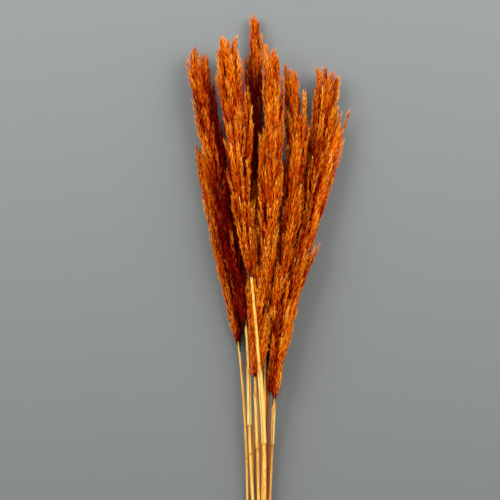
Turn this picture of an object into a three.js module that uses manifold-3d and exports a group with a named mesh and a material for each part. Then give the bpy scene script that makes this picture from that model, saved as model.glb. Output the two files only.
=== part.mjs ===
// A bundle of dried pampas grass lying on its side: stalks with plumes, leaf sheaths and a rubber band.
// Millimetres. +Y runs from the cut ends to the plume tips, +Z is up from the surface it lies on.
import * as THREE from 'three';
import { mergeVertices } from 'three/addons/utils/BufferGeometryUtils.js';
import Module from 'manifold-3d';

const wasm = await Module();
wasm.setup();

// Overall sizes
const bareLength = 256; // from the cut ends to the base of the lowest plume
const groundLayerHeight = 12.5; // rachis height in the plumes that lie on the surface
const layerRise = 16.5; // from one layer of plumes to the next

// Stems
const stemTaper = 0.76; // diameter where the plume begins, as a share of the cut end's
const rachisTipDiameter = 1.5;
const rachisShortfall = 14; // the rachis ends this far short of the plume's tip
const jointSwelling = 0.35; // how far a joint on a stem stands out all round
const jointHalfLength = 2.4;
const stemSides = 8;
const stemStep = 34; // between the sections of a stem

// Clearances
const fitGap = 0.3; // between pieces that touch
const layingGap = 0.5; // between stems that cross

// Rubber band
const bandFromEnds = 60;
const bandWidth = 9;
const bandThickness = 1.5;
const bandArcStep = Math.PI / 12; // turn between two corners where the band goes round a stem
const slotGap = 0.4; // between neighbouring stems inside the band
const footSplay = 1.12; // how far the cut ends spread sideways, as a share of their places in the band
const upperRowStart = 1.5; // the upper row begins this many places in, in the lower one's grooves

// Leaf sheaths
const sheathWall = 0.7;

// Plumes
const plumeDepth = 0.8; // a plume's depth as a share of its width
const plumeSides = 12;
const plumeSections = 13;
const plumeThroat = 4.2; // half width where the plume begins
const restingDepth = 1.4; // how far a plume flattens where it rests on the surface
const waistBelowPlumes = 56; // where the stems are narrowest together, below the lowest plume
const waistRise = 0.3; // share of its plume's height that a stem has reached at the waist
const baseRise = 0.78; // and at the plume's base
const upperDroop = 0.3; // share of its tip's droop that a plume has at two thirds of its length

// The stalks in the order they are laid down.
//   row, slot: place inside the band, from the surface up and from the left
//   stem: diameter at the cut end; cut: how far the cut end is from the bundle's end
//   waist: sideways place at the waist; start: how far the plume begins above the lowest one
//   across: sideways place at the plume's base, thirds and tip; length: of the plume
//   half: half the plume's width; tip: its width near the tip as a share of that
//   layer: which layer it lies in; droop: how far its tip hangs below that
//   joints: distances of the stem's joints below its plume
//   dip: how much lower the plume begins than others of its layer do, as a share of the layer's height
const stalks = [
  {
    name: 'left_low', row: 0, slot: 0, stem: 4.2, cut: 6, waist: -17, start: 71, across: [-27, -41, -57, -75],
    length: 250, half: 13, tip: 0.35, layer: 0, droop: 2, joints: [150],
  },
  {
    name: 'tall', row: 0, slot: 1, stem: 4.6, cut: 0, waist: -6.5, start: 74, across: [-2, -5, -4, -6],
    length: 420, half: 14.5, tip: 0.42, layer: 0, droop: 0, joints: [120],
  },
  {
    name: 'inner_right', row: 0, slot: 2, stem: 4.4, cut: 9, waist: 2, start: 69, across: [17, 32, 45, 39],
    length: 360, half: 15, tip: 0.7, layer: 1, droop: 11, joints: [170],
  },
  {
    name: 'front_right', row: 0, slot: 3, stem: 4.4, cut: 3, waist: 6, start: 118, across: [9, 13, 18, 15],
    length: 339, half: 16, tip: 0.68, layer: 2, droop: 8, joints: [205], dip: 0.36,
  },
  {
    name: 'back_middle', row: 0, slot: 4, stem: 4.4, cut: 12, waist: 10.5, start: 8, across: [12, 14, 18, 20],
    length: 262, half: 12, tip: 0.5, layer: 0, droop: 0, joints: [85],
  },
  {
    name: 'right', row: 0, slot: 5, stem: 4.2, cut: 4, waist: 15, start: 36, across: [24, 47, 75, 90],
    length: 392, half: 19, tip: 0.92, layer: 0, droop: -2, joints: [130],
  },
  {
    name: 'left', row: 1, slot: 0, stem: 5.2, cut: 2, waist: -12, start: 92, across: [-17, -38, -61, -83],
    length: 360, half: 18, tip: 0.88, layer: 1, droop: 12, joints: [165],
  },
  {
    name: 'middle_low', row: 1, slot: 1, stem: 5, cut: 8, waist: -2, start: 26, across: [-5, -5, -4, -3],
    length: 250, half: 14, tip: 0.5, layer: 1, droop: 0, joints: [95],
  },
  {
    name: 'front_left', row: 1, slot: 2, stem: 5.6, cut: 5, waist: 6, start: 156,
    across: [-10, -22, -31, -43], length: 306, half: 18, tip: 0.85, layer: 2, droop: 9, joints: [109],
  },
  {
    name: 'right_low', row: 1, slot: 3, stem: 4.4, cut: 10, waist: 17, start: 4, across: [20, 38, 72, 107],
    length: 356, half: 13.5, tip: 0.3, layer: 1, droop: 12, joints: [70],
  },
];

// Leaf sheaths: the stalk, and how far below its plume the sheath ends and begins
const sheaths = [
  { stalk: 'left', top: 46, bottom: 128 },
  { stalk: 'middle_low', top: 14, bottom: 92 },
  { stalk: 'right_low', top: 8, bottom: 66 },
  { stalk: 'front_left', top: 112, bottom: 214 },
];

const straw = new THREE.MeshStandardMaterial({ color: 0xdfa24a, roughness: 0.55, metalness: 0 });
const husk = new THREE.MeshStandardMaterial({ color: 0xc9803a, roughness: 0.7, metalness: 0 });
const floss = new THREE.MeshStandardMaterial({ color: 0xb5560f, roughness: 0.9, metalness: 0 });
const rubber = new THREE.MeshStandardMaterial({ color: 0xb58a55, roughness: 0.6, metalness: 0 });

// Inside the band the stems lie in two rows, one on the other, spaced for the thickest of them.
const thickestStem = Math.max(...stalks.map((stalk) => stalk.stem));
const slotPitch = thickestStem + slotGap;
const lowerRowHeight = bandThickness + fitGap + thickestStem / 2;
const rowRise = Math.sqrt((thickestStem + fitGap) ** 2 - (slotPitch / 2) ** 2);
const lowerRowCount = stalks.filter((stalk) => stalk.row === 0).length;

function bandSlot({ row, slot }) {
  const x = (slot - (lowerRowCount - 1) / 2 + row * upperRowStart) * slotPitch;
  return new THREE.Vector3(x, bandFromEnds, lowerRowHeight + row * rowRise);
}

function plumeHeight({ layer, half }) {
  return layer === 0 ? half * plumeDepth - restingDepth : groundLayerHeight + layer * layerRise;
}

// The points a stalk's centre line passes through: cut end, band, waist, and its plume's base, thirds and tip
function centrePoints(stalk) {
  const held = bandSlot(stalk);
  const height = plumeHeight(stalk);
  const climb = height - held.z;
  const baseY = bareLength + stalk.start;
  const [baseX, lowerX, upperX, tipX] = stalk.across;
  return [
    new THREE.Vector3(held.x * footSplay, stalk.cut, held.z - bandThickness - fitGap),
    held,
    new THREE.Vector3(stalk.waist, bareLength - waistBelowPlumes, held.z + climb * waistRise),
    new THREE.Vector3(baseX, baseY, held.z + climb * (baseRise - (stalk.dip ?? 0))),
    new THREE.Vector3(lowerX, baseY + stalk.length / 3, height),
    new THREE.Vector3(upperX, baseY + (stalk.length * 2) / 3, height - stalk.droop * upperDroop),
    new THREE.Vector3(tipX, baseY + stalk.length, height - stalk.droop),
  ];
}

const bandPoint = 1; // its place in that list
const plumeBasePoint = 3;
const divisions = 400;

// A stalk's centre line, with the lengths along it that its pieces start and end at
function routeThrough(points) {
  const curve = new THREE.CatmullRomCurve3(points, false, 'centripetal');
  curve.arcLengthDivisions = divisions;
  const lengths = curve.getLengths();
  const length = lengths[divisions];
  const baseAt = lengths[(divisions * plumeBasePoint) / (points.length - 1)];
  return { points, curve, length, baseAt, rachisEnd: length - rachisShortfall };
}

function stemRadius(stalk, route, along) {
  const thick = stalk.stem / 2;
  const throat = thick * stemTaper;
  if (along <= route.baseAt) return THREE.MathUtils.mapLinear(along, 0, route.baseAt, thick, throat);
  return THREE.MathUtils.mapLinear(along, route.baseAt, route.rachisEnd, throat, rachisTipDiameter / 2);
}

function hasSheath({ stalk }) {
  return sheaths.some((sheath) => sheath.stalk === stalk.name);
}

// Where along its stalk a sheath begins and ends. Without one, both lie past the tip.
function sheathEnds(stalk, route) {
  const sheath = sheaths.find((each) => each.stalk === stalk.name);
  return sheath ? [route.baseAt - sheath.bottom, route.baseAt - sheath.top] : [Infinity, Infinity];
}

// The radius another stem has to keep clear of: the stem's own, or its sheath's
function clearRadius(stalk, route, along) {
  const [from, to] = sheathEnds(stalk, route);
  const sheathed = along > from - fitGap && along < to + fitGap;
  const joint = stalk.joints.some((below) => Math.abs(route.baseAt - below - along) < jointHalfLength);
  const extra = Math.max(sheathed ? fitGap + sheathWall : 0, joint ? jointSwelling : 0);
  return stemRadius(stalk, route, along) + extra;
}

const layingSamples = 160; // places compared along each stem
const layingReach = 12; // only places this near along the bundle are compared
const layingRounds = 60;

function samplesAlong(stalk, route) {
  return Array.from({ length: layingSamples + 1 }, (_, i) => {
    const along = (route.rachisEnd * i) / layingSamples;
    return { at: route.curve.getPointAt(along / route.length), radius: clearRadius(stalk, route, along) };
  });
}

// The deepest place where a stalk comes too near one that is already laid
function worstCrossing(samples, laid) {
  let worst = { short: 0 };
  for (const other of laid) {
    for (const a of samples) {
      for (const b of other.samples) {
        if (Math.abs(a.at.y - b.at.y) > layingReach) continue;
        const short = a.radius + b.radius + layingGap - a.at.distanceTo(b.at);
        if (short > worst.short) worst = { short, at: a.at };
      }
    }
  }
  return worst;
}

// Stalks are laid one on another: where one would run through those below, it is lifted there.
function lay(stalk, laid) {
  const points = centrePoints(stalk);
  const liftable = points.slice(2);
  for (let round = 0; round < layingRounds; round += 1) {
    const route = routeThrough(points);
    const samples = samplesAlong(stalk, route);
    const crossing = worstCrossing(samples, laid);
    if (crossing.short <= 0) return { stalk, route, samples };
    const nearest = liftable.reduce((a, b) =>
      Math.abs(a.y - crossing.at.y) < Math.abs(b.y - crossing.at.y) ? a : b);
    nearest.z += crossing.short + layingGap / 5;
  }
  throw new Error(`${stalk.name} can't be laid clear of the others`);
}

const bunch = [];
for (const stalk of stalks) bunch.push(lay(stalk, bunch));

// Bends a shape made upright along +Y so that it follows a stalk's centre line.
function bendAlong(geometry, route, start, depth = 1) {
  const position = geometry.getAttribute('position');
  const up = new THREE.Vector3(0, 0, 1);
  const point = new THREE.Vector3();
  for (let i = 0; i < position.count; i += 1) {
    point.fromBufferAttribute(position, i);
    const share = THREE.MathUtils.clamp((start + point.y) / route.length, 0, 1);
    const tangent = route.curve.getTangentAt(share);
    const side = new THREE.Vector3().crossVectors(tangent, up).normalize();
    const top = new THREE.Vector3().crossVectors(side, tangent);
    const bent = route.curve.getPointAt(share);
    bent.addScaledVector(side, point.x).addScaledVector(top, point.z * depth);
    position.setXYZ(i, bent.x, bent.y, bent.z);
  }
  return geometry;
}

function solidOf(geometry) {
  const bare = new THREE.BufferGeometry();
  bare.setAttribute('position', geometry.getAttribute('position'));
  bare.setIndex(geometry.getIndex());
  const merged = mergeVertices(bare, 1e-4);
  const corners = merged.getIndex().array;
  const kept = [];
  for (let i = 0; i < corners.length; i += 3) {
    const [a, b, c] = corners.subarray(i, i + 3);
    if (a !== b && b !== c && c !== a) kept.push(a, b, c);
  }
  return new wasm.Manifold(new wasm.Mesh({
    numProp: 3,
    vertProperties: new Float32Array(merged.getAttribute('position').array),
    triVerts: new Uint32Array(kept),
  }));
}

function geometryOf(solid) {
  const { vertProperties, triVerts } = solid.getMesh();
  const geometry = new THREE.BufferGeometry();
  geometry.setAttribute('position', new THREE.BufferAttribute(vertProperties, 3));
  geometry.setIndex(new THREE.BufferAttribute(triVerts, 1));
  const faceted = geometry.toNonIndexed();
  faceted.computeVertexNormals();
  return faceted;
}

// The lengths along a stem that get a section: even steps, a sheath's ends, and three at each joint
function stemStations({ stalk, route }) {
  const joints = stalk.joints.map((below) => route.baseAt - below);
  const swollen = joints.flatMap((joint) => [joint - jointHalfLength, joint, joint + jointHalfLength]);
  const marks = [...swollen, ...sheathEnds(stalk, route).filter(Number.isFinite)];
  const steps = Math.ceil(route.rachisEnd / stemStep);
  const even = Array.from({ length: steps + 1 }, (_, i) => (route.rachisEnd * i) / steps);
  const clear = even.filter((at) => marks.every((mark) => Math.abs(mark - at) > 2 * jointHalfLength));
  return [...clear, ...marks].sort((a, b) => a - b).map((at) => ({
    at,
    swelling: joints.includes(at) ? jointSwelling : 0,
  }));
}

function stemGeometry(laid, grow = 0) {
  const { stalk, route } = laid;
  const outline = stemStations(laid).map(({ at, swelling }) =>
    new THREE.Vector2(stemRadius(stalk, route, at) + swelling + grow, at));
  outline[0].y -= grow;
  outline.at(-1).y += grow;
  const ends = [new THREE.Vector2(0, outline[0].y), ...outline, new THREE.Vector2(0, outline.at(-1).y)];
  return bendAlong(new THREE.LatheGeometry(ends, stemSides), route, 0);
}

// A sheath shares its sections with the stem inside it, so the gap between them is even.
function sheathGeometry(laid) {
  const { stalk, route } = laid;
  const [from, to] = sheathEnds(stalk, route);
  const stations = stemStations(laid).filter(({ at }) => at >= from && at <= to);
  const wall = (offset) => stations.map(({ at, swelling }) =>
    new THREE.Vector2(stemRadius(stalk, route, at) + swelling + offset, at));
  const outline = [...wall(fitGap + sheathWall), ...wall(fitGap).reverse()];
  return bendAlong(new THREE.LatheGeometry([...outline, outline[0].clone()], stemSides), route, 0);
}

// The room a sheath and its stem need, filled in
function sheathRoom(laid) {
  const { stalk, route } = laid;
  const [from, to] = sheathEnds(stalk, route);
  const around = stemStations(laid).filter(({ at }) => at >= from && at <= to).map(({ at, swelling }) =>
    new THREE.Vector2(stemRadius(stalk, route, at) + swelling + sheathWall + 2 * fitGap, at));
  around[0].y -= fitGap;
  around.at(-1).y += fitGap;
  const ends = [new THREE.Vector2(0, around[0].y), ...around, new THREE.Vector2(0, around.at(-1).y)];
  return bendAlong(new THREE.LatheGeometry(ends, stemSides), route, 0);
}

// A plume swells from its throat over its lowest quarter and closes bluntly or to a point.
function plumeGeometry({ stalk, route }, grow = 0) {
  const length = route.length - route.baseAt;
  const half = stalk.half;
  const outline = new THREE.SplineCurve([
    new THREE.Vector2(plumeThroat, 0),
    new THREE.Vector2(half * 0.6, length * 0.13),
    new THREE.Vector2(half * 0.9, length * 0.3),
    new THREE.Vector2(half, length * 0.5),
    new THREE.Vector2(half * (1 + stalk.tip) * 0.5, length * 0.76),
    new THREE.Vector2(half * stalk.tip, length * 0.94),
    new THREE.Vector2(half * stalk.tip * 0.6, length * 0.985),
  ]).getPoints(plumeSections - 1);
  outline.forEach((point) => { point.x += grow; });
  const ends = [new THREE.Vector2(0, 0), ...outline, new THREE.Vector2(0, length)];
  return bendAlong(new THREE.LatheGeometry(ends, plumeSides), route, route.baseAt, plumeDepth);
}

// A box under the surface that the bundle lies on
function groundSolid() {
  const size = 3 * bareLength + 3 * Math.max(...stalks.map((stalk) => stalk.length));
  return solidOf(new THREE.BoxGeometry(size, size, size).translate(0, 0, -size / 2));
}

function largestOf(solid) {
  return solid.decompose().reduce((a, b) => (a.volume() > b.volume() ? a : b));
}

// Soft plumes give way to every stem and sheath, to the plumes that lie on them and to the surface.
function plumeSolids() {
  const stems = bunch.map((laid) => solidOf(stemGeometry(laid, fitGap)));
  const husks = bunch.filter(hasSheath).map((laid) => solidOf(sheathRoom(laid)));
  const topDown = [...bunch].reverse().sort((a, b) => b.stalk.layer - a.stalk.layer);
  const ground = groundSolid();
  const above = [];
  const solids = new Map();
  for (const laid of topDown) {
    const whole = solidOf(plumeGeometry(laid));
    const cutters = [...stems, ...husks, ...above, ground];
    const rest = cutters.reduce((left, cutter) => left.subtract(cutter), whole);
    solids.set(laid.stalk.name, largestOf(rest));
    above.push(solidOf(plumeGeometry(laid, fitGap)));
  }
  return solids;
}

// The outermost of these points, anticlockwise
function hullOf(points) {
  const sorted = [...points].sort((a, b) => a.x - b.x || a.y - b.y);
  const turnsLeft = (a, b, c) => (b.x - a.x) * (c.y - a.y) > (b.y - a.y) * (c.x - a.x);
  const chain = (list) => list.reduce((kept, point) => {
    while (kept.length > 1 && !turnsLeft(kept.at(-2), kept.at(-1), point)) kept.pop();
    return [...kept, point];
  }, []);
  return [...chain(sorted).slice(0, -1), ...chain(sorted.reverse()).slice(0, -1)];
}

// The corners of an outline that wraps these places at this distance. A slight turn takes one corner.
function wrapOutline(centres, radius) {
  return centres.flatMap((centre, i) => {
    const before = centres.at(i - 1);
    const after = centres[(i + 1) % centres.length];
    const start = Math.atan2(centre.y - before.y, centre.x - before.x) - Math.PI / 2;
    const end = Math.atan2(after.y - centre.y, after.x - centre.x) - Math.PI / 2;
    const turn = THREE.MathUtils.euclideanModulo(end - start, 2 * Math.PI);
    const steps = Math.round(turn / bandArcStep);
    return Array.from({ length: steps + 1 }, (_, k) => {
      const angle = start + turn * (steps ? k / steps : 0.5);
      return new THREE.Vector2(centre.x + radius * Math.cos(angle), centre.y + radius * Math.sin(angle));
    });
  });
}

// Where a stalk's centre line crosses the two edges of the band, seen along the bundle.
// The band lies flat on the surface, so neither place is lower than the stalk's own in the middle.
function bandCrossings({ route }) {
  const held = route.points[bandPoint];
  const tangent = route.curve.getTangent(bandPoint / (route.points.length - 1));
  return [-1, 1].map((side) => {
    const away = (side * bandWidth) / 2 / tangent.y;
    return new THREE.Vector2(held.x + tangent.x * away, held.z + Math.max(tangent.z * away, 0));
  });
}

// The band wraps every stem over its whole width.
function bandGeometry() {
  const corners = hullOf(bunch.flatMap(bandCrossings));
  const inner = thickestStem / 2 + fitGap;
  const shape = new THREE.Shape(wrapOutline(corners, inner + bandThickness));
  shape.holes.push(new THREE.Path(wrapOutline(corners, inner)));
  const geometry = new THREE.ExtrudeGeometry(shape, { depth: bandWidth, bevelEnabled: false });
  return geometry.rotateX(Math.PI / 2).translate(0, bandFromEnds + bandWidth / 2, 0);
}

function piece(name, geometry, material) {
  const mesh = new THREE.Mesh(geometry, material);
  mesh.name = name;
  return mesh;
}

const bundle = new THREE.Group();
for (const laid of bunch) bundle.add(piece(`stem_${laid.stalk.name}`, stemGeometry(laid), straw));
for (const [name, solid] of plumeSolids()) bundle.add(piece(`plume_${name}`, geometryOf(solid), floss));
for (const laid of bunch.filter(hasSheath)) {
  bundle.add(piece(`sheath_${laid.stalk.name}`, sheathGeometry(laid), husk));
}
bundle.add(piece('rubber_band', bandGeometry(), rubber));

// The origin is the middle of the bundle's underside.
const box = new THREE.Box3().setFromObject(bundle);
const middle = box.getCenter(new THREE.Vector3());
bundle.position.set(-middle.x, -middle.y, -box.min.z);

const model = new THREE.Group();
model.add(bundle);

export default model;
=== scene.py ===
"""Looks for a bundle of dyed, dried pampas grass that lies on its side.

Each CAD plume is replaced by branches set with spikelets, each stem by a ridged culm with joints and a
pithy cut end, each sheath by a split papery husk, and the band by a rubber band wound three times. Every
place comes from the CAD nodes.
"""
import math

import bpy
import numpy as np
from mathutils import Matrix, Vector
from mathutils.bvhtree import BVHTree


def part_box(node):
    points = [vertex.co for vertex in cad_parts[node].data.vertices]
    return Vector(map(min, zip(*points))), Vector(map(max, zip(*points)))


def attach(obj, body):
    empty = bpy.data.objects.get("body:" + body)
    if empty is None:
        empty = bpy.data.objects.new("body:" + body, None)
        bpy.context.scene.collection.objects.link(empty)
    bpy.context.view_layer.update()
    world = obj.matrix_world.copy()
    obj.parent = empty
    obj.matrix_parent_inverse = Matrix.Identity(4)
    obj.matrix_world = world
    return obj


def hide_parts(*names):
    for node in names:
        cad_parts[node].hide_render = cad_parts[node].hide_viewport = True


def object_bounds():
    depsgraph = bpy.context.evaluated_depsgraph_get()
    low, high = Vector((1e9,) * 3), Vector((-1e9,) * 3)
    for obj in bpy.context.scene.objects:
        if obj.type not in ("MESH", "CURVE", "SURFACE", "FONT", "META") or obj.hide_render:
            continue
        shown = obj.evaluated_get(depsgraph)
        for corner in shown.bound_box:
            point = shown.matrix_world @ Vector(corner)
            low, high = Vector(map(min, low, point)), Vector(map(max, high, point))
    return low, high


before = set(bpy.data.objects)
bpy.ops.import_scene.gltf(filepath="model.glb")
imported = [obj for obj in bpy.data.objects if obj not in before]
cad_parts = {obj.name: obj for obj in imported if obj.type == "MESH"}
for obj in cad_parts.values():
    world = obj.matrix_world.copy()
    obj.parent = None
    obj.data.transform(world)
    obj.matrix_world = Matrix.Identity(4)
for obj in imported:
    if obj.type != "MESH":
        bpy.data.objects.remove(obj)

CAD_LOW, CAD_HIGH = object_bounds()
MM = 0.001
FULL_TURN = 2 * math.pi

# ---- camera, floor and light

VIEW_SPAN = 642 * MM  # width of the square that the camera frames, at the plumes' height
VIEW_HEAD_ROOM = 18 * MM  # between the frame's upper edge and the tallest plume
VIEW_SIDE_SHIFT = -18.5 * MM  # the bundle lies right of the frame's middle
PLUME_HEIGHT = 30 * MM
LENS_MM, SENSOR_MM = 100, 36
FAR_CLIP = 20

FLOOR_HALF = 6.0
FLOOR_GREY = (0.174, 0.186, 0.183, 1)
FLOOR_ROUGHNESS = 0.9
WORLD_STRENGTH = 0.3

# Name, place, the point it faces, width and height in metres, and watts
SOFTBOXES = [
    ("left_softbox", (-1.2, 0.75, 1.1), (0, 0.2, 0), (1.2, 1.3), 30.5),
    ("right_softbox", (1.2, 0.7, 1.1), (0, 0.2, 0), (1.2, 1.3), 29.5),
    ("tip_softbox", (0.0, 1.15, 0.6), (0, 0.3, 0), (1.4, 0.4), 8),
]


def make_camera():
    data = bpy.data.cameras.new("camera")
    data.lens = LENS_MM
    data.sensor_width = SENSOR_MM
    data.clip_end = FAR_CLIP
    camera = bpy.data.objects.new("camera", data)
    bpy.context.collection.objects.link(camera)
    distance = VIEW_SPAN * LENS_MM / SENSOR_MM
    middle_x = (CAD_LOW.x + CAD_HIGH.x) / 2 + VIEW_SIDE_SHIFT
    middle_y = CAD_HIGH.y + VIEW_HEAD_ROOM - VIEW_SPAN / 2
    camera.location = (middle_x, middle_y, PLUME_HEIGHT + distance)
    bpy.context.scene.camera = camera


def make_softbox(name, place, target, size, watts):
    data = bpy.data.lights.new(name, "AREA")
    data.shape = "RECTANGLE"
    data.size, data.size_y = size
    data.energy = watts
    light = bpy.data.objects.new(name, data)
    light.visible_camera = False
    light.location = place
    light.rotation_euler = (Vector(target) - Vector(place)).to_track_quat("-Z", "Y").to_euler()
    bpy.context.collection.objects.link(light)


def make_floor():
    corners = [(x * FLOOR_HALF, y * FLOOR_HALF, 0) for x, y in ((-1, -1), (1, -1), (1, 1), (-1, 1))]
    mesh = bpy.data.meshes.new("floor")
    mesh.from_pydata(corners, [], [(0, 1, 2, 3)])
    floor = bpy.data.objects.new("floor", mesh)
    bpy.context.collection.objects.link(floor)
    material = bpy.data.materials.new("floor_paper")
    material.use_nodes = True
    shader = material.node_tree.nodes["Principled BSDF"]
    shader.inputs["Base Color"].default_value = FLOOR_GREY
    shader.inputs["Roughness"].default_value = FLOOR_ROUGHNESS
    mesh.materials.append(material)


def make_studio():
    make_floor()
    world = bpy.data.worlds.new("studio")
    world.use_nodes = True
    background = world.node_tree.nodes["Background"]
    background.inputs["Color"].default_value = (1, 1, 1, 1)
    background.inputs["Strength"].default_value = WORLD_STRENGTH
    bpy.context.scene.world = world
    bpy.context.scene.view_settings.view_transform = "Standard"
    for softbox in SOFTBOXES:
        make_softbox(*softbox)


# ---- directions and lines

UP = np.array([0.0, 0.0, 1.0])
LOOK_AROUND = 2 * MM  # a line's direction is taken over this distance both ways


def unit(vectors):
    return vectors / np.maximum(np.linalg.norm(vectors, axis=-1, keepdims=True), 1e-12)


def side_and_top(along):
    """Two directions across each of these: a level one, and one as near +Z as it can be."""
    side = unit(np.cross(along, UP))
    return side, np.cross(side, along)


def smoothed(values, rounds):
    """values with each row moved towards its neighbours', and the two end rows kept."""
    values = values.copy()
    for _ in range(rounds):
        values[1:-1] = (values[:-2] + 2 * values[1:-1] + values[2:]) / 4
    return values


def smooth_step(values, low, high):
    share = np.clip((values - low) / (high - low), 0, 1)
    return share * share * (3 - 2 * share)


class Line:
    """A centre line through points that run along +Y, read by distance along it."""

    def __init__(self, points):
        self.points = points
        steps = np.linalg.norm(np.diff(points, axis=0), axis=1)
        self.along = np.concatenate([[0], np.cumsum(steps)])
        self.length = self.along[-1]

    def between(self, along):
        return np.stack([np.interp(along, self.along, self.points[:, i]) for i in range(3)], -1)

    def at(self, along):
        """Places on the line, or straight on past its ends."""
        inside = np.clip(along, 0, self.length)
        return self.between(inside) + (along - inside)[..., None] * self.direction(inside)

    def direction(self, along):
        ahead = np.clip(along + LOOK_AROUND, 0, self.length)
        behind = np.clip(along - LOOK_AROUND, 0, self.length)
        return unit(self.between(ahead) - self.between(behind))


# ---- reading the CAD nodes


def triangles_of(node):
    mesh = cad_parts[node].data
    mesh.calc_loop_triangles()
    corners = np.empty(len(mesh.loop_triangles) * 3, np.int32)
    mesh.loop_triangles.foreach_get("vertices", corners)
    places = np.empty(len(mesh.vertices) * 3)
    mesh.vertices.foreach_get("co", places)
    return places.reshape(-1, 3)[corners].reshape(-1, 3, 3)


def sections(node, levels):
    """Centre and mean radius of a node's cross-section at each of these places along Y."""
    triangles = triangles_of(node)
    starts = triangles.reshape(-1, 3)
    ends = np.roll(triangles, -1, axis=1).reshape(-1, 3)
    low, high = starts[:, 1], ends[:, 1]
    centres, radii = [], []
    for level in levels:
        cut = (low <= level) != (high <= level)
        share = (level - low[cut]) / (high[cut] - low[cut])
        points = starts[cut] + share[:, None] * (ends[cut] - starts[cut])
        centre = points.mean(0)
        centres.append(centre)
        radii.append(np.linalg.norm(points - centre, axis=1).mean())
    return np.array(centres), np.array(radii)


def surface_of(node):
    """A node's surface, to cast rays at."""
    triangles = triangles_of(node)
    corners = np.arange(len(triangles) * 3).reshape(-1, 3)
    return BVHTree.FromPolygons(triangles.reshape(-1, 3).tolist(), corners.tolist())


def reach_across(surface, centre, angles, far):
    """How far out the surface lies from a point at each angle round +Y, seen from outside, or 0."""
    reach = np.zeros(len(angles))
    for k, angle in enumerate(angles):
        outward = Vector((math.cos(angle), 0, math.sin(angle)))
        _, _, _, distance = surface.ray_cast(centre + outward * far, -outward, far)
        if distance is not None:
            reach[k] = far - distance
    return reach


# ---- meshes and materials

BAKE_MAP = "OFBake"


def make_piece(name, vertices, triangles, corner_map, material, stands_for):
    """A smooth mesh piece with its own UV map, riding on the root in place of its CAD node."""
    count = len(triangles)
    mesh = bpy.data.meshes.new(name)
    mesh.vertices.add(len(vertices))
    mesh.vertices.foreach_set("co", np.ascontiguousarray(vertices, np.float32).ravel())
    mesh.loops.add(count * 3)
    mesh.loops.foreach_set("vertex_index", np.ascontiguousarray(triangles, np.int32).ravel())
    mesh.polygons.add(count)
    mesh.polygons.foreach_set("loop_start", np.arange(0, count * 3, 3, dtype=np.int32))
    mesh.polygons.foreach_set("use_smooth", np.ones(count, bool))
    layer = mesh.uv_layers.new(name=BAKE_MAP)
    layer.uv.foreach_set("vector", np.ascontiguousarray(corner_map, np.float32).ravel())
    mesh.update(calc_edges=True)
    mesh.materials.append(material)
    piece = bpy.data.objects.new(name, mesh)
    bpy.context.collection.objects.link(piece)
    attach(piece, "root")
    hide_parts(stands_for)


class Nodes:
    """Short calls for building one material's node tree."""

    def __init__(self, name, roughness, specular=0.5):
        self.material = bpy.data.materials.new(name)
        self.material.use_nodes = True
        self.tree = self.material.node_tree
        self.shader = self.tree.nodes["Principled BSDF"]
        self.shader.inputs["Roughness"].default_value = roughness
        self.shader.inputs["Specular IOR Level"].default_value = specular

    def add(self, kind, **settings):
        node = self.tree.nodes.new(kind)
        for key, value in settings.items():
            setattr(node, key, value)
        return node

    def feed(self, value, socket):
        """Links another node's output to the socket, or sets it to a number or a colour."""
        if isinstance(value, bpy.types.NodeSocket):
            self.tree.links.new(value, socket)
        else:
            socket.default_value = value if isinstance(value, (int, float)) else (*value, 1)

    def ramp(self, source, stops):
        node = self.add("ShaderNodeValToRGB")
        elements = node.color_ramp.elements
        while len(elements) < len(stops):
            elements.new(0.5)
        for element, (place, colour) in zip(elements, stops):
            element.position = place
            element.color = (*colour, 1)
        self.feed(source, node.inputs["Fac"])
        return node.outputs["Color"]

    def grey_ramp(self, source, stops):
        return self.ramp(source, [(place, (grey, grey, grey)) for place, grey in stops])

    def mix(self, share, first, second, blend="MIX"):
        node = self.add("ShaderNodeMix", data_type="RGBA", blend_type=blend)
        self.feed(share, node.inputs["Factor"])
        self.feed(first, node.inputs["A"])
        self.feed(second, node.inputs["B"])
        return node.outputs["Result"]

    def math(self, operation, first, second):
        node = self.add("ShaderNodeMath", operation=operation)
        self.feed(first, node.inputs[0])
        self.feed(second, node.inputs[1])
        return node.outputs[0]

    def map_axes(self):
        node = self.add("ShaderNodeUVMap", uv_map=BAKE_MAP)
        split = self.add("ShaderNodeSeparateXYZ")
        self.feed(node.outputs["UV"], split.inputs[0])
        return split.outputs["X"], split.outputs["Y"]

    def noise(self, scale, detail=3, stretch=(1, 1, 1), roughness=0.55):
        coords = self.add("ShaderNodeTexCoord")
        place = self.add("ShaderNodeMapping")
        place.inputs["Scale"].default_value = stretch
        self.feed(coords.outputs["Object"], place.inputs["Vector"])
        node = self.add("ShaderNodeTexNoise")
        node.inputs["Scale"].default_value = scale
        node.inputs["Detail"].default_value = detail
        node.inputs["Roughness"].default_value = roughness
        self.feed(place.outputs[0], node.inputs["Vector"])
        return node.outputs["Fac"]

    def bump(self, height, strength, distance):
        node = self.add("ShaderNodeBump")
        node.inputs["Strength"].default_value = strength
        node.inputs["Distance"].default_value = distance
        self.feed(height, node.inputs["Height"])
        self.feed(node.outputs["Normal"], self.shader.inputs["Normal"])

    def colour(self, source):
        self.feed(source, self.shader.inputs["Base Color"])
        return self.material


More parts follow.
